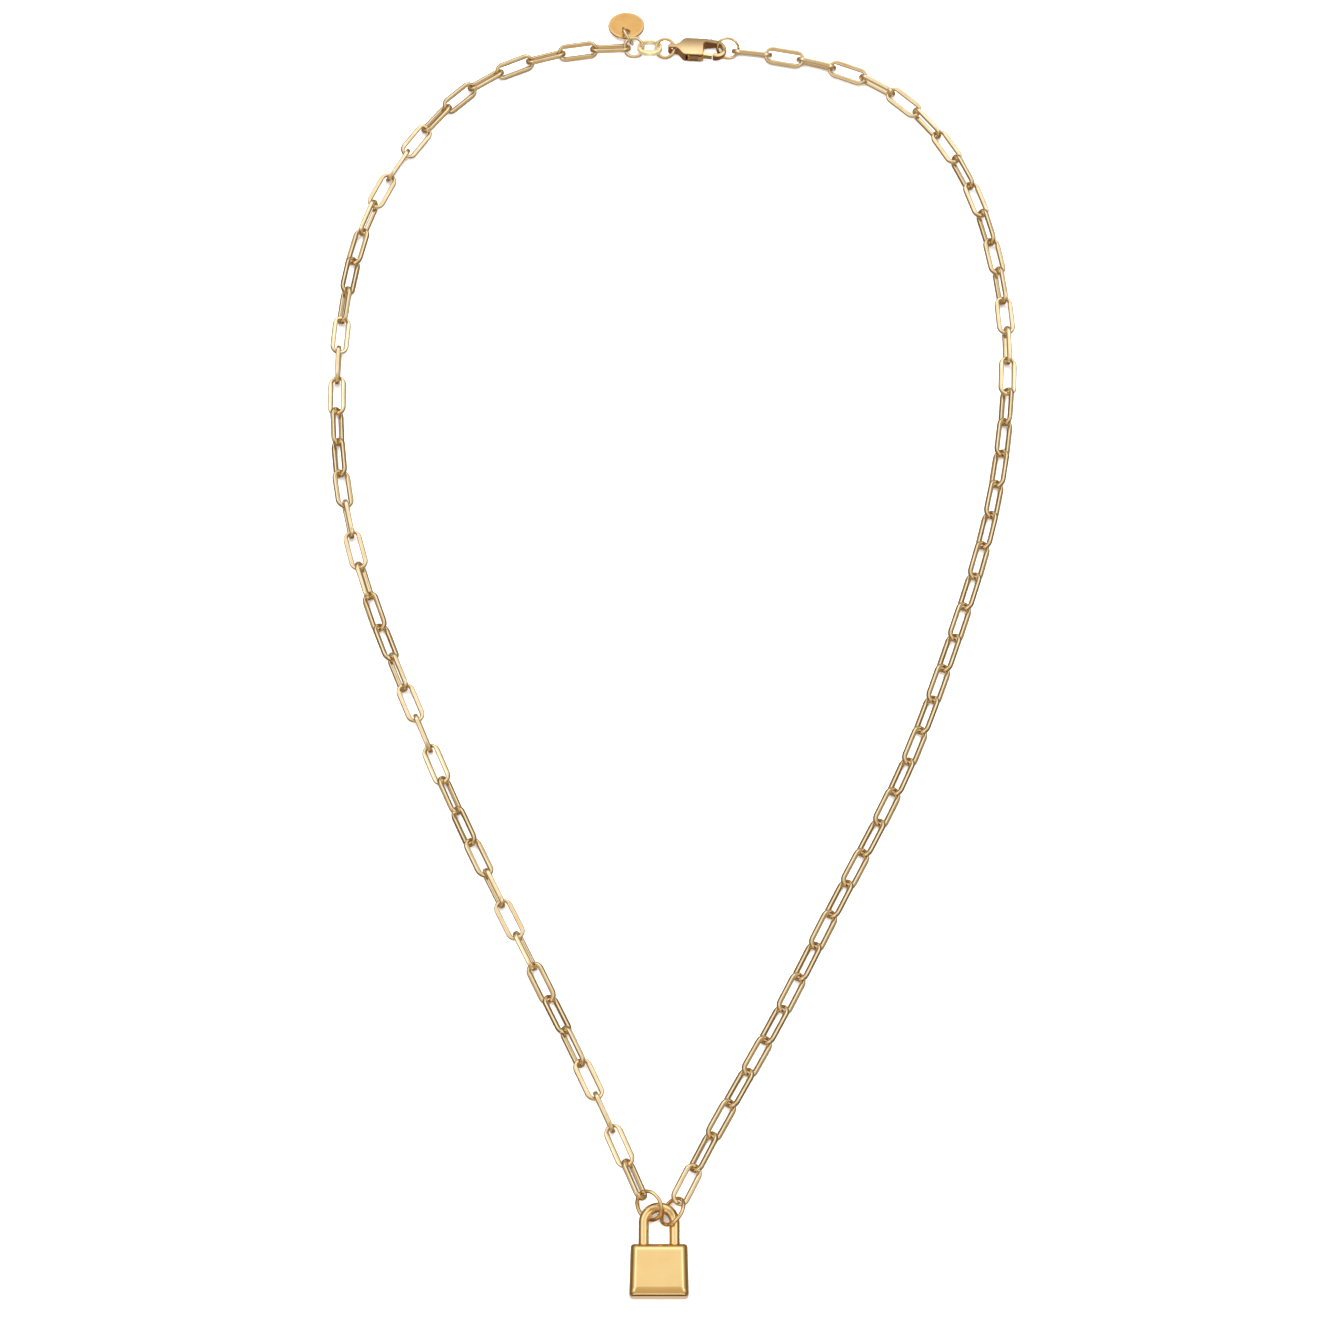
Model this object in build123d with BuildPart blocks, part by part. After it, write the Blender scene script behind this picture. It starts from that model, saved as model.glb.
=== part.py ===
# Padlock pendant necklace, laid out flat in a long loop.
# Two sides of long-link chain run from two jump rings on the padlock's shackle up to a lobster
# clasp, which hangs between jump rings. A bare round tag hangs from the left side's end ring.
# Millimetres, +Z up, +Y from the padlock to the clasp. The table is at z = 0.

import math
import os

from build123d import *

# Chain links, from flat-sided wire with rounded edges
links_per_side = 42
link_length = 6.45
link_width = 2.75
link_rail = 0.70
link_end_wall = 0.56
link_thickness = 0.68
link_edge_radius = 0.22
link_hole_corner = 0.45
link_play = 0.16

# Padlock body and shackle
body_width = 8.1
body_top_width = 7.75
body_height = 7.2
body_thickness = 3.1
body_face_radius = 1.15
body_back_radius = 0.25
body_corner_radius = 0.5
shackle_wire = 1.4
shackle_gap = 2.8
shackle_leg = 3.0
socket_depth = 1.2
seat_gap = 0.05

# Jump rings: outer diameter, wire diameter and the turn of each about the chain's line
pendant_ring_diameter = 4.6
pendant_ring_wire = 0.55
pendant_ring_left_roll = -46.7
pendant_ring_right_roll = -49.2
end_ring_diameter = 3.45
end_ring_wire = 0.5
end_ring_roll = 43
end_ring_play = 0.23
clasp_ring_diameter = 3.4
clasp_ring_wire = 0.5
clasp_ring_roll = 25
clasp_ring_play = 0.42
hook_ring_diameter = 3.8
hook_ring_wire = 0.43
hook_ring_roll = 57.5
hook_ring_play = 0.7
hook_ring_rise = 0.29
hook_ring_aside = 0.27
hook_ring_back = 0.14

# Flat ring with a solid crescent on the padlock's side
flat_ring_diameter = 3.95
flat_ring_rim = 0.42
flat_ring_thickness = 0.7
flat_ring_crescent = 0.95
flat_ring_edge_radius = 0.1
flat_ring_roll = -24
flat_ring_play = 0.27
flat_ring_lift = 0.08

# Tag and its ring
tag_diameter = 5.7
tag_thickness = 0.4
tag_hole = 1.2
tag_hole_offset = 1.5
tag_lean = 13
tag_edge_radius = 0.1
tag_direction = 102
tag_ring_diameter = 3.3
tag_ring_wire = 0.42
tag_ring_turn = 68
tag_ring_aside = 0.7
tag_ring_in = 0.2
tag_ring_gap = 0.31

# Lobster clasp, along its length from the tail's tip
clasp_length = 9.2
clasp_width = 3.15
clasp_thickness = 1.9
clasp_roll = -3
clasp_lift = 0.25
clasp_play = 0.13
clasp_tail_width = 0.75
clasp_tail_length = 1.2
clasp_tail_wall = 0.45
clasp_eye_width = 0.95
clasp_eye_height = 1.4
clasp_eye_corner = 0.38
clasp_shoulder_x = 2.9
clasp_tail_slope = 0.15
clasp_shoulder_slope = 0.1
clasp_pivot_x = 3.4
clasp_pivot_inset = 0.82
clasp_plate_length = 5.6
clasp_mouth_x = 7.15
clasp_edge_radius = 0.12
clasp_corner_radius = 0.35
hook_root_length = 0.45
hook_width = 0.7
hook_thickness = 0.7
hook_edge_radius = 0.2
hook_bend_length = 1.9
hook_tip_inset = 0.44
back_nub_x = 6.75
back_nub_diameter = 0.8
back_nub_rise = 0.3
back_nub_thickness = 0.8
lever_thickness = 0.95
lever_width = 0.56
lever_hub = 0.85
lever_thumb_inset = 0.27
lever_gap = 0.1
lever_side_gap = 0.1
lever_tip_gap = 0.15
lever_travel = 24
pin_diameter = 0.5
pin_clearance = 0.04
thumb_nub_x = 5.1
thumb_nub_diameter = 0.6

# Where the pendant rings cross the shackle's arc, and the plan direction each one points, degrees
left_ring_on_arc = 118
left_ring_direction = 128.8
left_ring_slack = 0.46
right_ring_on_arc = 36.3
right_ring_direction = 62.2
right_ring_slack = 0.78

# The chain's route round the loop in plan, from the left pendant ring to the right one
route_points = [
    (-9.8, 20.1),
    (-18.9, 38.7),
    (-27.9, 57.1),
    (-36.1, 76.0),
    (-43.5, 95.3),
    (-47.3, 110.0),
    (-48.9, 125.4),
    (-48.5, 140.8),
    (-45.6, 156.3),
    (-38.9, 170.1),
    (-28.6, 181.7),
    (-19.3, 186.2),
    (-9.1, 188.1),
    (5.0, 187.9),
    (13.7, 187.3),
    (24.1, 185.3),
    (33.7, 181.5),
    (41.5, 174.6),
    (47.0, 165.6),
    (51.4, 150.6),
    (52.8, 135.1),
    (51.7, 119.8),
    (48.7, 104.5),
    (42.4, 84.6),
    (34.9, 65.2),
    (25.6, 46.8),
    (16.2, 28.3),
    (8.6, 14.6),
]

# How the links turn about the chain's line on their way up from the padlock.
# Columns: share of the side's links, twist in degrees
left_twist = [(0.02, 10), (0.48, 294), (0.64, 405), (0.79, 505), (0.86, 541), (1.0, 545)]
left_splay = 90
right_twist = [
    (0.02, -14),
    (0.07, 0),
    (0.59, 0),
    (0.67, -40),
    (0.74, -22),
    (0.81, -30),
    (0.9, -58),
    (1.0, -80),
]
right_splay = 80


def direction(angle):
    """Plan direction at an angle from +X, in degrees."""
    return Vector(math.cos(math.radians(angle)), math.sin(math.radians(angle)), 0)


def rolled_plane(start, end, roll):
    """Plane of a flat piece midway between two points, turned about their line by roll degrees."""
    along = (end - start).normalized()
    side = Vector(0, 0, 1).cross(along).normalized()
    turn = math.radians(roll)
    normal = along.cross(side) * math.cos(turn) - side * math.sin(turn)
    return Plane(origin=(start + end) * 0.5, x_dir=along, z_dir=normal)


def at_height(point, height):
    """The point moved to a height above the table."""
    return Vector(point.X, point.Y, height)


def ring_rest_height(diameter, wire, roll):
    """Height of a round ring's centre when it rests on the table at that roll."""
    return (diameter - wire) / 2 * abs(math.sin(math.radians(roll))) + wire / 2


def round_ring(plane, diameter, wire):
    """A round jump ring whose hole faces the plane's normal."""
    with BuildPart() as ring:
        with Locations(plane):
            Torus((diameter - wire) / 2, wire / 2)
    return ring


# Padlock body: a tapered block with softly rounded edges and two sockets for the shackle
shackle_radius = (shackle_gap + shackle_wire) / 2
shackle_height = body_thickness / 2
body_top = -shackle_leg
with BuildPart() as padlock_body:
    with BuildSketch():
        with BuildLine():
            Polyline(
                (-body_top_width / 2, body_top),
                (-body_width / 2, body_top - body_height),
                (body_width / 2, body_top - body_height),
                (body_top_width / 2, body_top),
                close=True,
            )
        make_face()
        fillet(vertices(), body_corner_radius)
    extrude(amount=body_thickness)
    fillet(faces().sort_by(Axis.Z)[-1].edges(), body_face_radius)
    fillet(faces().sort_by(Axis.Z)[0].edges(), body_back_radius)
    with Locations(
        Plane(origin=(-shackle_radius, body_top, shackle_height), z_dir=(0, 1, 0)),
        Plane(origin=(shackle_radius, body_top, shackle_height), z_dir=(0, 1, 0)),
    ):
        Hole(shackle_wire / 2 + seat_gap, depth=socket_depth)

# Shackle: a U of round wire
leg_end = body_top - socket_depth + seat_gap
with BuildPart() as shackle:
    with BuildLine():
        Line((-shackle_radius, leg_end, shackle_height), (-shackle_radius, 0, shackle_height))
        ThreePointArc(
            (-shackle_radius, 0, shackle_height),
            (0, shackle_radius, shackle_height),
            (shackle_radius, 0, shackle_height),
        )
        Line((shackle_radius, 0, shackle_height), (shackle_radius, leg_end, shackle_height))
    with BuildSketch(Plane(origin=(-shackle_radius, leg_end, shackle_height), z_dir=(0, 1, 0))):
        Circle(shackle_wire / 2)
    sweep()


# Pendant rings: each crosses the shackle's arc and holds the first link of its side
def pendant_ring_ends(on_arc, pointing, slack, roll):
    """The near and far points, inside the ring, of its line towards the chain."""
    inner_radius = pendant_ring_diameter / 2 - pendant_ring_wire
    crossing = direction(on_arc) * shackle_radius
    centre = crossing + direction(pointing) * (inner_radius - shackle_wire / 2 - slack)
    centre = at_height(centre, ring_rest_height(pendant_ring_diameter, pendant_ring_wire, roll))
    reach = direction(pointing) * (inner_radius - link_play / 2)
    return centre - reach, centre + reach


left_near, left_start = pendant_ring_ends(
    left_ring_on_arc, left_ring_direction, left_ring_slack, pendant_ring_left_roll
)
right_near, right_start = pendant_ring_ends(
    right_ring_on_arc, right_ring_direction, right_ring_slack, pendant_ring_right_roll
)
pendant_ring_left = round_ring(
    rolled_plane(left_near, left_start, pendant_ring_left_roll), pendant_ring_diameter, pendant_ring_wire
)
pendant_ring_right = round_ring(
    rolled_plane(right_near, right_start, pendant_ring_right_roll), pendant_ring_diameter, pendant_ring_wire
)

# Route: the chosen points are spread or drawn in until the loop is as long as its pieces
link_pitch = link_length - 2 * link_end_wall - link_play
side_length = links_per_side * link_pitch
end_ring_span = end_ring_diameter - 2 * end_ring_wire - end_ring_play
flat_ring_span = flat_ring_diameter - 2 * flat_ring_rim - flat_ring_play
clasp_ring_span = clasp_ring_diameter - 2 * clasp_ring_wire - clasp_ring_play
clasp_span = clasp_length - clasp_tail_wall - hook_width - clasp_play
hook_ring_span = hook_ring_diameter - 2 * hook_ring_wire - hook_ring_play
clasp_group_length = end_ring_span + flat_ring_span + clasp_ring_span + clasp_span + hook_ring_span
loop_length = 2 * side_length + clasp_group_length
fitting_rounds = 5


def loop_route(scale):
    """The loop's line in plan, with its chosen points scaled about the shackle."""
    with BuildLine() as line:
        Spline(
            (left_start.X, left_start.Y),
            *[(x * scale, y * scale) for x, y in route_points],
            (right_start.X, right_start.Y),
        )
    return line.edge()


route_scale = 1.0
for _ in range(fitting_rounds):
    route_scale = route_scale * loop_length / loop_route(route_scale).length
route = loop_route(route_scale)


def on_route(distance):
    """The point on the route at a distance from its left end."""
    return route.position_at(distance, position_mode=PositionMode.LENGTH)


# Chain link: a flat long ring with a squared hole and rounded edges
with BuildPart() as link:
    with BuildSketch():
        SlotOverall(link_length, link_width)
        RectangleRounded(
            link_length - 2 * link_end_wall,
            link_width - 2 * link_rail,
            link_hole_corner,
            mode=Mode.SUBTRACT,
        )
    extrude(amount=link_thickness / 2, both=True)
    fillet(edges(), link_edge_radius)


def twist_at(table, share):
    """Twist from a table of (share, twist) rows, in between its rows by proportion."""
    below = [row for row in table if row[0] <= share] or table[:1]
    above = [row for row in table if row[0] > share] or table[-1:]
    low_share, low_twist = below[-1]
    high_share, high_twist = above[0]
    if high_share <= low_share:
        return low_twist
    return low_twist + (high_twist - low_twist) * (share - low_share) / (high_share - low_share)


def link_rolls(table, splay):
    """Roll of each link of a side: neighbours stand about a right angle apart."""
    rolls = []
    for number in range(1, links_per_side + 1):
        half_splay = splay / 2 if number % 2 else -splay / 2
        rolls.append(twist_at(table, number / links_per_side) + half_splay)
    return rolls


def link_half_height(roll):
    """Half the height of a link that is rolled about its length."""
    turn = math.radians(roll)
    flat_half_width = link_width / 2 - link_edge_radius
    flat_half_thickness = link_thickness / 2 - link_edge_radius
    return flat_half_width * abs(math.sin(turn)) + flat_half_thickness * abs(math.cos(turn)) + link_edge_radius


def chain_side(start, first_distance, step, rolls):
    """One side of the chain, from the padlock up, as interlocked links on the route."""
    heights = [link_half_height(roll) for roll in rolls]
    joint_heights = [max(pair) for pair in zip(heights, heights[1:])] + [heights[-1]]
    joints = [start]
    for number, height in enumerate(joint_heights, 1):
        joints.append(at_height(on_route(first_distance + number * step), height))
    planes = [rolled_plane(*row) for row in zip(joints, joints[1:], rolls)]
    with BuildPart() as chain:
        with Locations(*planes):
            add(link.part)
    return chain


chain_left = chain_side(left_start, 0, link_pitch, link_rolls(left_twist, left_splay))
chain_right = chain_side(right_start, loop_length, -link_pitch, link_rolls(right_twist, right_splay))

# Rings and clasp between the two sides, one after the other along the route
end_ring_from = side_length
flat_ring_from = end_ring_from + end_ring_span
clasp_ring_from = flat_ring_from + flat_ring_span
clasp_from = clasp_ring_from + clasp_ring_span
hook_ring_from = clasp_from + clasp_span


def plane_on_route(start_distance, span, roll, height, rise=0, aside=0):
    """Plane of a piece that spans a stretch of the route, its far end higher by rise."""
    start = at_height(on_route(start_distance), height - rise / 2)
    end = at_height(on_route(start_distance + span), height + rise / 2)
    shift = Vector(0, 0, 1).cross((end - start).normalized()) * aside
    return rolled_plane(start + shift, end + shift, roll)


end_ring_plane = plane_on_route(
    end_ring_from,
    end_ring_span,
    end_ring_roll,
    ring_rest_height(end_ring_diameter, end_ring_wire, end_ring_roll),
)
chain_end_ring = round_ring(end_ring_plane, end_ring_diameter, end_ring_wire)
clasp_height = clasp_thickness / 2 + clasp_lift
clasp_ring = round_ring(
    plane_on_route(clasp_ring_from, clasp_ring_span, clasp_ring_roll, clasp_height),
    clasp_ring_diameter,
    clasp_ring_wire,
)
hook_ring = round_ring(
    plane_on_route(
        hook_ring_from - hook_ring_back,
        hook_ring_span,
        hook_ring_roll,
        ring_rest_height(hook_ring_diameter, hook_ring_wire, hook_ring_roll),
        hook_ring_rise,
        hook_ring_aside,
    ),
    hook_ring_diameter,
    hook_ring_wire,
)

# Flat ring: a thick rim that closes into a solid crescent below a straight chord
flat_ring_turn = math.radians(abs(flat_ring_roll))
flat_ring_height = (
    flat_ring_diameter / 2 * math.sin(flat_ring_turn)
    + flat_ring_thickness / 2 * math.cos(flat_ring_turn)
    + flat_ring_lift
)
flat_ring_plane = plane_on_route(flat_ring_from, flat_ring_span, flat_ring_roll, flat_ring_height)
with BuildPart() as flat_ring:
    with BuildSketch(flat_ring_plane):
        Circle(flat_ring_diameter / 2)
        with BuildSketch(mode=Mode.SUBTRACT):
            Circle(flat_ring_diameter / 2 - flat_ring_rim)
            with Locations((0, flat_ring_crescent)):
                Rectangle(flat_ring_diameter, flat_ring_diameter, mode=Mode.INTERSECT)
    extrude(amount=flat_ring_thickness / 2, both=True)
    fillet(edges(), flat_ring_edge_radius)

# Tag ring: hangs on the back of the end ring and reaches through the tag's hole
tag_height = (
    tag_diameter / 2 * math.sin(math.radians(tag_lean)) + tag_thickness / 2 * math.cos(math.radians(tag_lean))
)
hole_height = tag_height + tag_hole_offset * math.sin(math.radians(tag_lean))
tag_ring_hold = end_ring_plane.from_local_coords(
    (
        -tag_ring_aside,
        (end_ring_diameter - end_ring_wire) / 2 - tag_ring_in,
        (end_ring_wire + tag_ring_wire) / 2 + tag_ring_gap,
    )
)
tag_ring_centreline = tag_ring_diameter - tag_ring_wire
hold_drop = tag_ring_hold.Z - hole_height
hold_reach = math.sqrt(tag_ring_centreline**2 - hold_drop**2)
hole_point = at_height(tag_ring_hold + direction(tag_direction) * hold_reach, hole_height)
tag_ring = round_ring(
    rolled_plane(tag_ring_hold, hole_point, tag_ring_turn), tag_ring_diameter, tag_ring_wire
)

# Tag: a round disc with a drilled hole, leaning up towards its ring
tag_plane = Plane(
    origin=hole_point + Vector(0, tag_hole_offset * math.cos(math.radians(tag_lean)), tag_height - hole_height),
    x_dir=(1, 0, 0),
    z_dir=(0, math.sin(math.radians(tag_lean)), math.cos(math.radians(tag_lean))),
)
with BuildPart() as tag:
    with BuildSketch(tag_plane):
        Circle(tag_diameter / 2)
        with Locations((0, -tag_hole_offset)):
            Circle(tag_hole / 2, mode=Mode.SUBTRACT)
    extrude(amount=tag_thickness / 2, both=True)
    fillet(edges(), tag_edge_radius)

# Clasp body: its own plane has the origin at the tail's tip, midway up, with x along the clasp
clasp_middle_plane = plane_on_route(clasp_from, clasp_span, clasp_roll, clasp_height)
tail_tip = clasp_middle_plane.from_local_coords((-clasp_span / 2 - clasp_tail_wall - clasp_play / 2, 0, 0))
clasp_plane = Plane(origin=tail_tip, x_dir=clasp_middle_plane.x_dir, z_dir=clasp_middle_plane.z_dir)
clasp_up = Axis(tail_tip, clasp_plane.z_dir)
clasp_side_plane = Plane(origin=tail_tip, x_dir=clasp_plane.x_dir, z_dir=-clasp_plane.y_dir)
half_width = clasp_width / 2
half_tail = clasp_tail_width / 2
hook_line_y = half_width - hook_width / 2
hook_bend_x = clasp_length - hook_bend_length
hook_taper_x = clasp_plate_length + hook_root_length
pivot = Vector(clasp_pivot_x, clasp_pivot_inset - half_width)
hook_tip = Vector(clasp_mouth_x, hook_tip_inset - half_width)
lever_tip = Vector(clasp_mouth_x - lever_tip_gap, hook_tip.Y)
lever_line = lever_tip - pivot
open_line = lever_line.rotate(Axis.Z, lever_travel).normalized()
pocket_corner = pivot + open_line.rotate(Axis.Z, 90) * (lever_width / 2 + lever_side_gap)
pocket_end_x = clasp_plate_length + clasp_edge_radius
pocket_end_y = pocket_corner.Y + (pocket_end_x - pocket_corner.X) * open_line.Y / open_line.X
pocket_foot_y = -clasp_width
pocket_start_x = clasp_pivot_x - lever_hub / 2 - lever_side_gap

# Hook: a bent band that thins towards its bend
with BuildPart() as hook:
    with BuildSketch(clasp_plane.offset(-clasp_thickness / 2)):
        with BuildLine():
            Line((clasp_plate_length - hook_width, hook_line_y), (hook_bend_x, hook_line_y))
            ThreePointArc(
                (hook_bend_x, hook_line_y),
                (clasp_length - hook_width / 2, (hook_line_y + hook_tip.Y) / 2),
                (hook_tip.X, hook_tip.Y),
            )
        trace(line_width=hook_width)
    extrude(amount=clasp_thickness)
    with BuildSketch(clasp_side_plane):
        with BuildLine():
            Polyline(
                (0, clasp_thickness / 2),
                (hook_taper_x, clasp_thickness / 2),
                (clasp_length, hook_thickness / 2),
                (clasp_length, -hook_thickness / 2),
                (hook_taper_x, -clasp_thickness / 2),
                (0, -clasp_thickness / 2),
                close=True,
            )
        make_face()
    extrude(amount=clasp_width, both=True, mode=Mode.INTERSECT)
    fillet(edges(), hook_edge_radius)

with BuildPart() as clasp_body:
    # The plates, from the tail to the mouth of the hook
    with BuildSketch(clasp_plane.offset(-clasp_thickness / 2)):
        with BuildLine():
            ThreePointArc((half_tail, -half_tail), (0, 0), (half_tail, half_tail))
            Line((half_tail, half_tail), (clasp_tail_length, half_tail))
            Spline(
                (clasp_tail_length, half_tail),
                (clasp_shoulder_x, half_width),
                tangents=((1, clasp_tail_slope), (1, clasp_shoulder_slope)),
            )
            Polyline(
                (clasp_shoulder_x, half_width),
                (hook_taper_x, half_width),
                (hook_taper_x, half_width - hook_width),
                (clasp_plate_length, half_width - hook_width),
                (clasp_plate_length, -half_width),
                (clasp_shoulder_x, -half_width),
            )
            Spline(
                (clasp_shoulder_x, -half_width),
                (clasp_tail_length, -half_tail),
                tangents=((-1, clasp_shoulder_slope), (-1, clasp_tail_slope)),
            )
            Line((clasp_tail_length, -half_tail), (half_tail, -half_tail))
        make_face()
        fillet(vertices().sort_by_distance((clasp_plate_length, -half_width))[0], clasp_corner_radius)
        fillet(
            vertices().sort_by_distance((clasp_plate_length, half_width - hook_width))[0], clasp_corner_radius
        )
    extrude(amount=clasp_thickness)
    fillet(faces().sort_by(clasp_up)[-1].edges(), clasp_edge_radius)
    fillet(faces().sort_by(clasp_up)[0].edges(), clasp_edge_radius)
    # The eye through the tail, from side to side
    with BuildSketch(clasp_side_plane):
        with Locations((clasp_tail_wall + clasp_eye_width / 2, 0)):
            RectangleRounded(clasp_eye_width, clasp_eye_height, clasp_eye_corner)
    extrude(amount=clasp_width, both=True, mode=Mode.SUBTRACT)
    # The lever's pocket, open on the padlock's side and into the hook
    with BuildSketch(clasp_plane.offset(-lever_thickness / 2 - lever_gap)):
        with Locations(pivot):
            Circle(lever_hub / 2 + lever_side_gap)
        with BuildLine():
            Polyline(
                (pocket_corner.X, pocket_corner.Y),
                (pocket_end_x, pocket_end_y),
                (pocket_end_x, pocket_foot_y),
                (pocket_start_x, pocket_foot_y),
                (pocket_start_x, pivot.Y),
                close=True,
            )
        make_face()
    extrude(amount=lever_thickness + 2 * lever_gap, mode=Mode.SUBTRACT)
    # The riveted pin, the hook and the small nub on the hook's back
    with BuildSketch(clasp_plane.offset(-clasp_thickness / 2 + clasp_edge_radius)):
        with Locations(pivot):
            Circle(pin_diameter / 2)
    extrude(amount=clasp_thickness - 2 * clasp_edge_radius)
    add(hook.part)
    with BuildSketch(clasp_plane.offset(-back_nub_thickness / 2)):
        with Locations((back_nub_x, half_width - back_nub_diameter / 2 + back_nub_rise)):
            Circle(back_nub_diameter / 2)
    extrude(amount=back_nub_thickness)

# Clasp lever: hub, arm that closes the hook's mouth, and the broad part with the thumb nub
thumb_y = lever_thumb_inset - half_width
with BuildPart() as clasp_lever:
    with BuildSketch(clasp_plane.offset(-lever_thickness / 2)):
        with Locations(pivot):
            Circle(lever_hub / 2)
        with BuildLine():
            Line((pivot.X, pivot.Y), (lever_tip.X, lever_tip.Y))
        trace(line_width=lever_width)
        with BuildLine():
            Line((clasp_pivot_x, thumb_y), (thumb_nub_x, thumb_y))
        trace(line_width=lever_width)
        with Locations((thumb_nub_x, thumb_y - lever_width / 2)):
            Circle(thumb_nub_diameter / 2)
        with Locations(pivot):
            Circle(pin_diameter / 2 + pin_clearance, mode=Mode.SUBTRACT)
    extrude(amount=lever_thickness)

# Finished pieces, moved together so that the origin is under the middle of their box
pieces = {
    "padlock_body": padlock_body,
    "shackle": shackle,
    "pendant_ring_left": pendant_ring_left,
    "pendant_ring_right": pendant_ring_right,
    "chain_left": chain_left,
    "chain_right": chain_right,
    "chain_end_ring": chain_end_ring,
    "flat_ring": flat_ring,
    "tag_ring": tag_ring,
    "tag": tag,
    "clasp_ring": clasp_ring,
    "clasp_body": clasp_body,
    "clasp_lever": clasp_lever,
    "hook_ring": hook_ring,
}
boxes = [piece.part.bounding_box() for piece in pieces.values()]
middle_x = (min(box.min.X for box in boxes) + max(box.max.X for box in boxes)) / 2
middle_y = (min(box.min.Y for box in boxes) + max(box.max.Y for box in boxes)) / 2
lowest = min(box.min.Z for box in boxes)
to_origin = Location((-middle_x, -middle_y, -lowest))

os.makedirs("parts", exist_ok=True)
for label, piece in pieces.items():
    placed = piece.part.moved(to_origin)
    placed.label = label
    export_step(placed, f"parts/{label}.step")

pivot_point = clasp_plane.from_local_coords((pivot.X, pivot.Y, 0)) - Vector(middle_x, middle_y, lowest)
print(f"route scale {route_scale:.4f}, loop length {loop_length:.1f} mm")
print(f"lever pivot {pivot_point.X:.4f}, {pivot_point.Y:.4f}, {pivot_point.Z:.4f}")
pivot_axis = clasp_plane.z_dir
print(f"lever axis {pivot_axis.X:.4f}, {pivot_axis.Y:.4f}, {pivot_axis.Z:.4f}")
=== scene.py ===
# Padlock pendant necklace: a fine gold chain laid out in a long loop on a white table, a small
# padlock at its foot, and at its top a lobster clasp among its rings with a bare round tag.
# Lengths are in metres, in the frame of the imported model: +Y from the padlock to the clasp, +Z up.

import math

import bpy
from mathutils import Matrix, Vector


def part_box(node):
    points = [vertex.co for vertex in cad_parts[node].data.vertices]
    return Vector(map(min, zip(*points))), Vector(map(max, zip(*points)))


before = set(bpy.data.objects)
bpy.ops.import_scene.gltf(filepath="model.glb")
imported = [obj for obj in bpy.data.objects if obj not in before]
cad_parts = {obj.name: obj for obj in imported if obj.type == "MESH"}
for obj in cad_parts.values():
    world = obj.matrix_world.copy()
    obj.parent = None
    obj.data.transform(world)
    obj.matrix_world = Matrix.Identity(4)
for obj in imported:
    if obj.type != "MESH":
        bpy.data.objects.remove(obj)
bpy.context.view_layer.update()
MM = 0.001

# Camera: above the table and a little towards the padlock, as in the photograph, looking down
# at the middle of its frame.
camera_target = Vector((-0.13, -11.06, 1.2)) * MM
camera_distance = 480.6 * MM
camera_elevation = math.radians(67.8)
camera_data = bpy.data.cameras.new("photo_camera")
camera_data.sensor_width = 36
camera_data.lens = 88.4
camera_data.clip_start = 0.01
camera = bpy.data.objects.new("photo_camera", camera_data)
camera_back = Vector((0, -math.cos(camera_elevation), math.sin(camera_elevation)))
camera.location = camera_target + camera_back * camera_distance
camera.rotation_euler = (-camera_back).to_track_quat("-Z", "Y").to_euler()
bpy.context.scene.collection.objects.link(camera)
bpy.context.scene.camera = camera
bpy.context.scene.view_settings.view_transform = "Standard"

# Table: one plain white board under everything, matt like paper. Polished metal doesn't mirror it,
# because the photograph's gold mirrors a darker room below its edges than the white it lies on.
table_half = 1.2
table_drop = 0.01 * MM
table_mesh = bpy.data.meshes.new("table_top")
table_mesh.from_pydata(
    [
        (-table_half, -table_half, 0),
        (table_half, -table_half, 0),
        (table_half, table_half, 0),
        (-table_half, table_half, 0),
    ],
    [],
    [(0, 1, 2, 3)],
)
table = bpy.data.objects.new("table_top", table_mesh)
table.location.z = -table_drop
table.visible_glossy = False
bpy.context.scene.collection.objects.link(table)
board = bpy.data.materials.new("white_board")
board.use_nodes = True
board_shader = board.node_tree.nodes["Principled BSDF"]
board_shader.inputs["Base Color"].default_value = (0.9, 0.9, 0.9, 1)
board_shader.inputs["Roughness"].default_value = 0.9
board_shader.inputs["Specular IOR Level"].default_value = 0
table_mesh.materials.append(board)

# Studio light: one wide soft box overhead lights the board, and the gold mirrors a tent of light,
# white behind and above, tan in front over a bright band below its horizon, dark at the foot of its
# walls, and with a lit panel high on each side.
box_side = 1.4
box_height = 1.0
box_data = bpy.data.lights.new("soft_box", "AREA")
box_data.shape = "RECTANGLE"
box_data.size = box_side
box_data.size_y = box_side
box_data.energy = 30
soft_box = bpy.data.objects.new("soft_box", box_data)
soft_box.location = (0, 0, box_height)
soft_box.visible_glossy = False
bpy.context.scene.collection.objects.link(soft_box)


def feed(tree, socket, value):
    """Gives a socket its value, which is a plain one or another socket."""
    if isinstance(value, bpy.types.NodeSocket):
        tree.links.new(value, socket)
    else:
        socket.default_value = value


def math_node(tree, operation, *values):
    """A math node on values that are each plain or a socket."""
    node = tree.nodes.new("ShaderNodeMath")
    node.operation = operation
    for socket, value in zip(node.inputs, values):
        feed(tree, socket, value)
    return node.outputs["Value"]


def ramp_mask(tree, value, start, end, interpolation="SMOOTHSTEP"):
    """A mask that goes from 0 to 1 as the value goes from start to end."""
    node = tree.nodes.new("ShaderNodeMapRange")
    node.interpolation_type = interpolation
    feed(tree, node.inputs["Value"], value)
    feed(tree, node.inputs["From Min"], start)
    feed(tree, node.inputs["From Max"], end)
    return node.outputs["Result"]


def colour_mix(tree, mask, first, second):
    """The first colour where the mask is 0, and the second where it is 1."""
    mix = tree.nodes.new("ShaderNodeMix")
    mix.data_type = "RGBA"
    feed(tree, mix.inputs["Factor"], mask)
    feed(tree, mix.inputs["A"], first)
    feed(tree, mix.inputs["B"], second)
    return mix.outputs["Result"]


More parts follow.
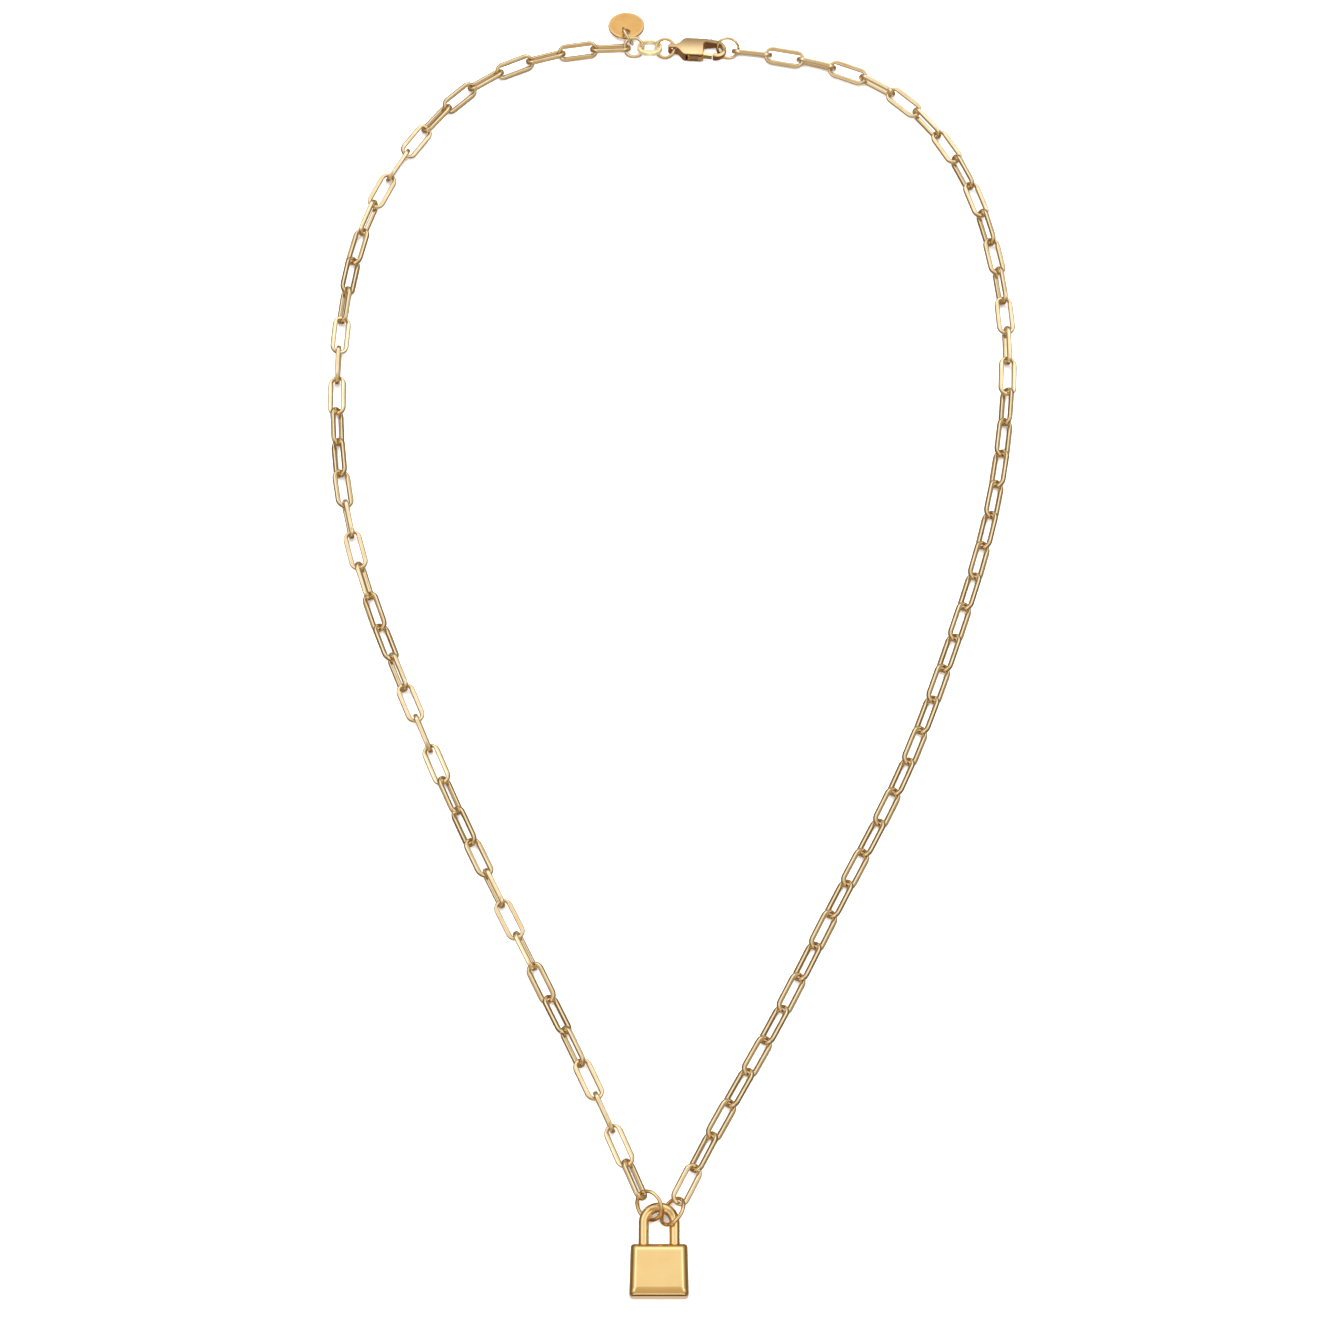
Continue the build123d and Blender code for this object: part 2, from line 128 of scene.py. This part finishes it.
tent = bpy.data.worlds.new("light_tent")
bpy.context.scene.world = tent
tent.use_nodes = True
tent_tree = tent.node_tree
tent_places = tent_tree.nodes.new("ShaderNodeTexCoord")
tent_axes = tent_tree.nodes.new("ShaderNodeSeparateXYZ")
tent_tree.links.new(tent_places.outputs["Generated"], tent_axes.inputs["Vector"])
tent_height = ramp_mask(
    tent_tree, tent_axes.outputs["Z"], start=-1, end=1, interpolation="LINEAR"
)


def tent_wall(stops):
    """One wall's light from straight down (0) over the horizon (0.5) to straight up (1)."""
    ramp = tent_tree.nodes.new("ShaderNodeValToRGB")
    while len(ramp.color_ramp.elements) < len(stops):
        ramp.color_ramp.elements.new(0.5)
    for element, (place, colour) in zip(ramp.color_ramp.elements, stops):
        element.position = place
        element.color = (*colour, 1)
    tent_tree.links.new(tent_height, ramp.inputs["Fac"])
    return ramp.outputs["Color"]


back_wall = tent_wall(
    [
        (0.0, (0.62, 0.56, 0.50)),
        (0.40, (0.26, 0.21, 0.16)),
        (0.52, (0.18, 0.14, 0.10)),
        (0.60, (0.42, 0.38, 0.32)),
        (0.72, (0.98, 0.98, 0.98)),
        (0.81, (1.40, 1.50, 1.72)),
        (0.89, (1.36, 1.44, 1.62)),
        (0.94, (1.10, 1.12, 1.16)),
    ]
)
front_wall = tent_wall(
    [
        (0.0, (0.70, 0.65, 0.67)),
        (0.06, (0.72, 0.66, 0.67)),
        (0.12, (0.12, 0.08, 0.05)),
        (0.36, (0.12, 0.08, 0.05)),
        (0.395, (1.20, 1.18, 1.12)),
        (0.48, (1.20, 1.18, 1.12)),
        (0.53, (0.60, 0.50, 0.38)),
        (0.90, (0.63, 0.52, 0.40)),
        (1.0, (0.70, 0.61, 0.50)),
    ]
)
side_wall = tent_wall(
    [
        (0.0, (0.44, 0.40, 0.35)),
        (0.25, (0.24, 0.20, 0.15)),
        (0.50, (0.17, 0.13, 0.09)),
        (0.58, (0.34, 0.29, 0.23)),
        (0.72, (0.60, 0.55, 0.48)),
        (0.79, (0.86, 0.84, 0.81)),
        (0.86, (1.44, 1.54, 1.78)),
        (0.91, (1.38, 1.46, 1.66)),
        (0.96, (0.97, 0.97, 0.97)),
    ]
)
# The front wall passes into the back one along Y, and both into the side walls away from the middle
towards_back = ramp_mask(tent_tree, tent_axes.outputs["Y"], start=-0.10, end=0.36)
front_to_back = colour_mix(tent_tree, towards_back, front_wall, back_wall)
from_middle = math_node(tent_tree, "ABSOLUTE", tent_axes.outputs["X"])
towards_side = ramp_mask(tent_tree, from_middle, start=0.18, end=0.50)
all_round = colour_mix(tent_tree, towards_side, front_to_back, side_wall)
tent_tree.links.new(all_round, tent_tree.nodes["Background"].inputs["Color"])

# Padlock body: a small solid block, cast in brass with soft edges and gold plated. It is buffed to a
# mirror by hand, which leaves slow waves in its face, and wear has left a few hairline scuffs.
waves_per_metre = 300
dull_spots_per_metre = 2500
scuffs_per_metre = 7000
scuff_roughness = 0.1
scuff_share_of_waves = 0.02


def new_group(name, inputs, outputs):
    """A shader node group with inputs as (name, kind, value) and outputs as (name, kind)."""
    group = bpy.data.node_groups.new(name, "ShaderNodeTree")
    for socket_name, kind, value in inputs:
        socket = group.interface.new_socket(socket_name, in_out="INPUT", socket_type=kind)
        socket.default_value = value
    for socket_name, kind in outputs:
        group.interface.new_socket(socket_name, in_out="OUTPUT", socket_type=kind)
    given = group.nodes.new("NodeGroupInput").outputs
    result = group.nodes.new("NodeGroupOutput").inputs
    return group, given, result


def place_group(tree, group, values):
    """Puts a node group into a material with its own values, and returns its outputs."""
    node = tree.nodes.new("ShaderNodeGroup")
    node.node_tree = group
    for name, value in values.items():
        node.inputs[name].default_value = value
    return node.outputs


def object_place(tree):
    """Each point's place on the piece, which moves with the piece."""
    return tree.nodes.new("ShaderNodeTexCoord").outputs["Object"]


def noise_node(tree, place, cells_per_metre, detail):
    """A noise from 0 to 1 over a place."""
    noise = tree.nodes.new("ShaderNodeTexNoise")
    noise.inputs["Detail"].default_value = detail
    feed(tree, noise.inputs["Vector"], place)
    feed(tree, noise.inputs["Scale"], cells_per_metre)
    return noise.outputs["Fac"]


worn_gold, worn_given, worn_result = new_group(
    "worn_gold",
    [
        ("Plating", "NodeSocketColor", (0.94, 0.67, 0.29, 1)),
        ("Rubbed", "NodeSocketColor", (0.88, 0.56, 0.21, 1)),
        ("Patches per Metre", "NodeSocketFloat", 400.0),
        ("Rubbed Share", "NodeSocketFloat", 0.4),
        ("Polish", "NodeSocketFloat", 0.08),
        ("Dulling", "NodeSocketFloat", 0.06),
        ("Scuffs", "NodeSocketFloat", 1.0),
    ],
    [
        ("Colour", "NodeSocketColor"),
        ("Roughness", "NodeSocketFloat"),
        ("Height", "NodeSocketFloat"),
    ],
)
worn_place = object_place(worn_gold)
worn_noise = noise_node(worn_gold, worn_place, worn_given["Patches per Metre"], detail=3)
worn_patches = ramp_mask(worn_gold, worn_noise, start=0.38, end=0.66, interpolation="LINEAR")
worn_share = math_node(worn_gold, "MULTIPLY", worn_patches, worn_given["Rubbed Share"])
worn_colour = colour_mix(worn_gold, worn_share, worn_given["Plating"], worn_given["Rubbed"])
worn_gold.links.new(worn_colour, worn_result["Colour"])
# Hairline scuffs: a noise drawn out into long streaks, of which only the crests are kept
scuff_turn = worn_gold.nodes.new("ShaderNodeMapping")
scuff_turn.inputs["Rotation"].default_value = (0.3, 0.2, 0.9)
scuff_turn.inputs["Scale"].default_value = (0.05, 1, 1)
worn_gold.links.new(worn_place, scuff_turn.inputs["Vector"])
scuff_noise = noise_node(worn_gold, scuff_turn.outputs["Vector"], scuffs_per_metre, detail=2)
scuff_lines = ramp_mask(worn_gold, scuff_noise, start=0.64, end=0.74, interpolation="LINEAR")
scuffs = math_node(worn_gold, "MULTIPLY", scuff_lines, worn_given["Scuffs"])
dull_spots = noise_node(worn_gold, worn_place, dull_spots_per_metre, detail=4)
dulling = math_node(worn_gold, "MULTIPLY", dull_spots, worn_given["Dulling"])
dulled = math_node(worn_gold, "ADD", worn_given["Polish"], dulling)
scuff_dulling = math_node(worn_gold, "MULTIPLY", scuffs, scuff_roughness)
worn_roughness = math_node(worn_gold, "ADD", dulled, scuff_dulling)
worn_gold.links.new(worn_roughness, worn_result["Roughness"])
worn_waves = noise_node(worn_gold, worn_place, waves_per_metre, detail=1)
scuff_depth = math_node(worn_gold, "MULTIPLY", scuffs, scuff_share_of_waves)
worn_height = math_node(worn_gold, "SUBTRACT", worn_waves, scuff_depth)
worn_gold.links.new(worn_height, worn_result["Height"])


def gold_material(name, wave_depth, finish):
    """Gold plate with its own values for worn_gold, and with waves of that depth."""
    material = bpy.data.materials.new(name)
    material.use_nodes = True
    tree = material.node_tree
    shader = tree.nodes["Principled BSDF"]
    shader.inputs["Metallic"].default_value = 1
    wear = place_group(tree, worn_gold, finish)
    waves = tree.nodes.new("ShaderNodeBump")
    waves.inputs["Distance"].default_value = wave_depth
    tree.links.new(wear["Colour"], shader.inputs["Base Color"])
    tree.links.new(wear["Roughness"], shader.inputs["Roughness"])
    tree.links.new(wear["Height"], waves.inputs["Height"])
    tree.links.new(waves.outputs["Normal"], shader.inputs["Normal"])
    return material


def dress(node_name, material):
    """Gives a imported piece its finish."""
    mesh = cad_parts[node_name].data
    mesh.materials.clear()
    mesh.materials.append(material)


padlock_gold = gold_material(
    "buffed_padlock_gold",
    wave_depth=0.02 * MM,
    finish={
        "Plating": (0.94, 0.67, 0.29, 1),
        "Rubbed": (0.90, 0.60, 0.24, 1),
        "Patches per Metre": 350,
        "Rubbed Share": 0.35,
        "Polish": 0.07,
        "Dulling": 0.06,
        "Scuffs": 1.0,
    },
)
dress("padlock_body", padlock_gold)

# Shackle: a U of round brass wire, bent, gold plated and pressed into the two sockets of the body.
# Where the two rings cross its bend, a ragged brown is painted on as the shade of their contact.
shackle_wire = 1.4 * MM
shackle_shade_reach = 1.1 * MM
contact_shade_brown = (0.36, 0.17, 0.05, 1)


def vector_node(tree, operation, *values):
    """A vector math node on values that are each plain or a socket."""
    node = tree.nodes.new("ShaderNodeVectorMath")
    node.operation = operation
    for socket, value in zip(node.inputs, values):
        feed(tree, socket, value)
    gives_number = operation in ("DISTANCE", "DOT_PRODUCT", "LENGTH")
    return node.outputs["Value" if gives_number else "Vector"]


def tint(material, mask, colour):
    """Lays a colour over a gold material's own where the mask shows it."""
    tree = material.node_tree
    base = tree.nodes["Principled BSDF"].inputs["Base Color"]
    tinted = colour_mix(tree, mask, base.links[0].from_socket, colour)
    tree.links.new(tinted, base)


def middle(node_name):
    """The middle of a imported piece's box."""
    node_low, node_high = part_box(node_name)
    return (Vector(node_low) + Vector(node_high)) / 2


contact_shade, contact_given, contact_result = new_group(
    "contact_shade",
    [("Centre", "NodeSocketVector", (0, 0, 0)), ("Reach", "NodeSocketFloat", 0.001)],
    [("Mask", "NodeSocketFloat")],
)
contact_place = object_place(contact_shade)
contact_distance = vector_node(contact_shade, "DISTANCE", contact_place, contact_given["Centre"])
contact_nearness = math_node(contact_shade, "DIVIDE", contact_distance, contact_given["Reach"])
contact_noise = noise_node(contact_shade, contact_place, cells_per_metre=2200, detail=3)
contact_ragged = math_node(contact_shade, "ADD", contact_nearness, contact_noise)
contact_fade = ramp_mask(contact_shade, contact_ragged, start=1.6, end=0.6)
contact_shade.links.new(contact_fade, contact_result["Mask"])


def add_contact_shade(material, centres, reach):
    """Painted brown shade round each of those points, out to the reach."""
    for centre in centres:
        mark = place_group(material.node_tree, contact_shade, {"Centre": centre, "Reach": reach})
        tint(material, mark["Mask"], contact_shade_brown)


# The rings cross the bend on the circle midway between its inner and its outer edge
shackle_low, shackle_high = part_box("shackle")
bend_radius = (shackle_high[0] - shackle_low[0] - shackle_wire) / 2
bend_centre = middle("shackle")
bend_centre.y = shackle_high[1] - bend_radius - shackle_wire / 2
ring_crossings = {}
for ring_name, degrees_on_bend in (("pendant_ring_left", 118), ("pendant_ring_right", 36.3)):
    on_bend = math.radians(degrees_on_bend)
    outwards = Vector((math.cos(on_bend), math.sin(on_bend), 0))
    ring_crossings[ring_name] = bend_centre + outwards * bend_radius
shackle_gold = gold_material(
    "shackle_wire_gold",
    wave_depth=0.008 * MM,
    finish={
        "Plating": (0.92, 0.65, 0.29, 1),
        "Rubbed": (0.82, 0.52, 0.20, 1),
        "Patches per Metre": 700,
        "Rubbed Share": 0.4,
        "Polish": 0.08,
        "Dulling": 0.07,
        "Scuffs": 1.0,
    },
)
# Painted brown shade where the two rings cross the bend
add_contact_shade(shackle_gold, ring_crossings.values(), shackle_shade_reach)
dress("shackle", shackle_gold)

# Pendant rings: two jump rings of round wire that join the padlock to the two ends of the chain.
# Each is cut from a coil and pinched shut, and its fine seam shows where the ends meet.
ring_wave_depth = 0.004 * MM
seam_half_width = 0.02 * MM
seam_brown = (0.46, 0.28, 0.11, 1)
ring_shade_reach = 1.6 * MM
ring_seam, seam_given, seam_result = new_group(
    "ring_seam",
    [
        ("Centre", "NodeSocketVector", (0, 0, 0)),
        ("Across", "NodeSocketVector", (1, 0, 0)),
        ("Towards", "NodeSocketVector", (0, 1, 0)),
        ("Half Width", "NodeSocketFloat", 0.00003),
    ],
    [("Mask", "NodeSocketFloat")],
)
seam_from_centre = vector_node(ring_seam, "SUBTRACT", object_place(ring_seam), seam_given["Centre"])
seam_across = vector_node(ring_seam, "DOT_PRODUCT", seam_from_centre, seam_given["Across"])
seam_towards = vector_node(ring_seam, "DOT_PRODUCT", seam_from_centre, seam_given["Towards"])
seam_offset = math_node(ring_seam, "ABSOLUTE", seam_across)
seam_line = math_node(ring_seam, "LESS_THAN", seam_offset, seam_given["Half Width"])
seam_side = math_node(ring_seam, "GREATER_THAN", seam_towards, 0)
ring_seam.links.new(math_node(ring_seam, "MULTIPLY", seam_line, seam_side), seam_result["Mask"])


def jump_ring(node_name, seam_degrees, finish):
    """Finishes a jump ring, with its seam at that angle from +X in plan."""
    material = gold_material(f"{node_name}_gold", ring_wave_depth, finish)
    seam_angle = math.radians(seam_degrees)
    towards = Vector((math.cos(seam_angle), math.sin(seam_angle), 0))
    seam = place_group(
        material.node_tree,
        ring_seam,
        {
            "Centre": middle(node_name),
            "Across": (-towards.y, towards.x, 0),
            "Towards": towards,
            "Half Width": seam_half_width,
        },
    )
    tint(material, seam["Mask"], seam_brown)
    dress(node_name, material)
    return material


round_wire_finish = {
    "Plating": (0.91, 0.69, 0.36, 1),
    "Rubbed": (0.78, 0.50, 0.20, 1),
    "Patches per Metre": 900,
    "Rubbed Share": 0.4,
    "Polish": 0.07,
    "Dulling": 0.07,
    "Scuffs": 0.8,
}
pendant_wire_finish = {
    **round_wire_finish,
    "Plating": (0.89, 0.64, 0.31, 1),
    "Rubbed": (0.72, 0.43, 0.17, 1),
}
for ring_name, seam_degrees in (("pendant_ring_left", 165), ("pendant_ring_right", 5)):
    pendant_ring_gold = jump_ring(ring_name, seam_degrees, pendant_wire_finish)
    # Painted brown shade where the shackle's bend crosses the ring
    add_contact_shade(pendant_ring_gold, [ring_crossings[ring_name]], ring_shade_reach)

# Chain sides: each a run of long links of flat-sided wire, every link soldered shut, tumbled bright
# and gold plated. Wear has warmed the plating in patches.
chain_gold = gold_material(
    "tumbled_chain_gold",
    wave_depth=0.006 * MM,
    finish={
        "Plating": (0.90, 0.72, 0.43, 1),
        "Rubbed": (0.77, 0.53, 0.24, 1),
        "Patches per Metre": 500,
        "Rubbed Share": 0.45,
        "Polish": 0.09,
        "Dulling": 0.08,
        "Scuffs": 0.8,
    },
)
dress("chain_left", chain_gold)
dress("chain_right", chain_gold)

# Rings between the chain and the clasp: jump rings of thinner round wire, pinched shut by hand,
# one on the left chain's last link, one through the clasp's tail and one that the hook holds.
pale_wire_finish = {
    **round_wire_finish,
    "Plating": (0.95, 0.78, 0.48, 1),
    "Rubbed": (0.84, 0.62, 0.32, 1),
}
jump_ring("chain_end_ring", 200, pale_wire_finish)
jump_ring("clasp_ring", 285, round_wire_finish)
jump_ring("hook_ring", 60, round_wire_finish)

# Flat ring: a thick stamped ring with a solid crescent on the padlock's side. It is left matt from
# the plating bath, so it is the palest of all the pieces and mirrors least.
flat_ring_metallic = 0.76
flat_ring_gold = gold_material(
    "stamped_ring_gold",
    wave_depth=0.005 * MM,
    finish={
        "Plating": (0.98, 0.84, 0.50, 1),
        "Rubbed": (0.92, 0.74, 0.38, 1),
        "Patches per Metre": 800,
        "Rubbed Share": 0.25,
        "Polish": 0.34,
        "Dulling": 0.1,
        "Scuffs": 1.0,
    },
)
flat_ring_shader = flat_ring_gold.node_tree.nodes["Principled BSDF"]
flat_ring_shader.inputs["Metallic"].default_value = flat_ring_metallic
dress("flat_ring", flat_ring_gold)

# Tag ring: the smallest jump ring, of the thinnest wire, closed through the tag's hole and round
# the chain's end ring.
jump_ring("tag_ring", 320, pale_wire_finish)

# Tag: a disc punched from sheet brass with a drilled hole, plated in a deeper gold that turns paler
# towards its rim. Its face is bare and softly polished, less sharp a mirror than the rings.
tag_lean = math.radians(13)
tag_rim_width = 0.3 * MM
tag_rim_fade = 0.5 * MM
tag_rim_pale = (0.84, 0.53, 0.22, 1)
paler_rim, rim_given, rim_result = new_group(
    "paler_rim",
    [
        ("Centre", "NodeSocketVector", (0, 0, 0)),
        ("Axis", "NodeSocketVector", (0, 0, 1)),
        ("Radius", "NodeSocketFloat", 0.001),
        ("Fade", "NodeSocketFloat", 0.0001),
    ],
    [("Mask", "NodeSocketFloat")],
)
rim_place = object_place(paler_rim)
rim_from_centre = vector_node(paler_rim, "SUBTRACT", rim_place, rim_given["Centre"])
rim_across_axis = vector_node(paler_rim, "CROSS_PRODUCT", rim_from_centre, rim_given["Axis"])
rim_distance = vector_node(paler_rim, "LENGTH", rim_across_axis)
rim_beyond = math_node(paler_rim, "SUBTRACT", rim_distance, rim_given["Radius"])
rim_steps = math_node(paler_rim, "DIVIDE", rim_beyond, rim_given["Fade"])
rim_noise = noise_node(paler_rim, rim_place, cells_per_metre=900, detail=3)
rim_ragged = math_node(paler_rim, "ADD", rim_steps, rim_noise)
paler_rim.links.new(ramp_mask(paler_rim, rim_ragged, start=0, end=1), rim_result["Mask"])
tag_gold = gold_material(
    "deep_tag_gold",
    wave_depth=0.006 * MM,
    finish={
        "Plating": (0.76, 0.43, 0.14, 1),
        "Rubbed": (0.66, 0.34, 0.09, 1),
        "Patches per Metre": 600,
        "Rubbed Share": 0.45,
        "Polish": 0.18,
        "Dulling": 0.10,
        "Scuffs": 1.0,
    },
)
tag_low, tag_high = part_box("tag")
tag_radius = (tag_high[0] - tag_low[0]) / 2
tag_rim = place_group(
    tag_gold.node_tree,
    paler_rim,
    {
        "Centre": middle("tag"),
        "Axis": (0, math.sin(tag_lean), math.cos(tag_lean)),
        "Radius": tag_radius - tag_rim_width,
        "Fade": tag_rim_fade,
    },
)
tint(tag_gold, tag_rim["Mask"], tag_rim_pale)
dress("tag", tag_gold)

# Clasp body: a lobster clasp cast in one piece, its plates left satin by fine brushing along their
# length. A riveted pin, flush with the plates, holds the lever.
brushing_depth = 0.0015 * MM
brushed_lines, brush_given, brush_result = new_group(
    "brushed_lines",
    [("Lines per Metre", "NodeSocketFloat", 12000.0), ("Stretch", "NodeSocketFloat", 0.04)],
    [("Height", "NodeSocketFloat")],
)
brush_scale = brushed_lines.nodes.new("ShaderNodeCombineXYZ")
brush_scale.inputs["Y"].default_value = 1
brush_scale.inputs["Z"].default_value = 1
brushed_lines.links.new(brush_given["Stretch"], brush_scale.inputs["X"])
brush_place = vector_node(
    brushed_lines, "MULTIPLY", object_place(brushed_lines), brush_scale.outputs["Vector"]
)
brush_noise = noise_node(brushed_lines, brush_place, brush_given["Lines per Metre"], detail=3)
brushed_lines.links.new(brush_noise, brush_result["Height"])


def add_brushing(material, depth, brushing):
    """Lays fine lines along +X over a gold material's own waves."""
    tree = material.node_tree
    normal = tree.nodes["Principled BSDF"].inputs["Normal"]
    lines = tree.nodes.new("ShaderNodeBump")
    lines.inputs["Distance"].default_value = depth
    tree.links.new(place_group(tree, brushed_lines, brushing)["Height"], lines.inputs["Height"])
    tree.links.new(normal.links[0].from_socket, lines.inputs["Normal"])
    tree.links.new(lines.outputs["Normal"], normal)


# Painted shade: the plates are painted darker brown towards their far side from the padlock, and the
# casting's sloped and upright sides, which are turned from the light above, are painted brown as
# well
unshaded_rim = 0.5 * MM
shaded_rim = 0.2 * MM
far_side_shade = (0.32, 0.20, 0.09, 1)
sloped_side_shade = (0.50, 0.25, 0.09, 1)
painted_clasp_shade, shade_given, shade_result = new_group(
    "painted_clasp_shade",
    [("Unshaded Edge", "NodeSocketFloat", 0.0), ("Shaded Edge", "NodeSocketFloat", 0.001)],
    [("Far Side", "NodeSocketFloat"), ("Sloped Side Shade", "NodeSocketFloat")],
)
shade_texture = painted_clasp_shade.nodes.new("ShaderNodeTexCoord")
shade_places = painted_clasp_shade.nodes.new("ShaderNodeSeparateXYZ")
shade_normals = painted_clasp_shade.nodes.new("ShaderNodeSeparateXYZ")
painted_clasp_shade.links.new(shade_texture.outputs["Object"], shade_places.inputs["Vector"])
painted_clasp_shade.links.new(shade_texture.outputs["Normal"], shade_normals.inputs["Vector"])
shaded_far_side = ramp_mask(
    painted_clasp_shade,
    shade_places.outputs["Y"],
    start=shade_given["Unshaded Edge"],
    end=shade_given["Shaded Edge"],
)
painted_clasp_shade.links.new(shaded_far_side, shade_result["Far Side"])
shade_facing_up = math_node(painted_clasp_shade, "ABSOLUTE", shade_normals.outputs["Z"])
shaded_slope = ramp_mask(painted_clasp_shade, shade_facing_up, start=0.75, end=0.15)
painted_clasp_shade.links.new(shaded_slope, shade_result["Sloped Side Shade"])
clasp_gold = gold_material(
    "satin_clasp_gold",
    wave_depth=0.008 * MM,
    finish={
        "Plating": (0.92, 0.66, 0.31, 1),
        "Rubbed": (0.80, 0.50, 0.20, 1),
        "Patches per Metre": 500,
        "Rubbed Share": 0.45,
        "Polish": 0.16,
        "Dulling": 0.12,
        "Scuffs": 1.0,
    },
)
add_brushing(clasp_gold, brushing_depth, {"Lines per Metre": 12000, "Stretch": 0.04})
clasp_low, clasp_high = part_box("clasp_body")
clasp_shade_masks = place_group(
    clasp_gold.node_tree,
    painted_clasp_shade,
    {"Unshaded Edge": clasp_low[1] + unshaded_rim, "Shaded Edge": clasp_high[1] - shaded_rim},
)
# Painted shade over the plates' far side and over the casting's sloped sides
tint(clasp_gold, clasp_shade_masks["Far Side"], far_side_shade)
tint(clasp_gold, clasp_shade_masks["Sloped Side Shade"], sloped_side_shade)
dress("clasp_body", clasp_gold)

# Clasp lever: a stamped brass strip, gold plated, that turns on the riveted pin, with a nub bent out
# of it for the thumb. Fingers keep its plating bright.
lever_gold = gold_material(
    "thumbed_lever_gold",
    wave_depth=0.006 * MM,
    finish={
        "Plating": (0.96, 0.72, 0.36, 1),
        "Rubbed": (0.86, 0.56, 0.22, 1),
        "Patches per Metre": 900,
        "Rubbed Share": 0.35,
        "Polish": 0.09,
        "Dulling": 0.08,
        "Scuffs": 0.8,
    },
)
dress("clasp_lever", lever_gold)
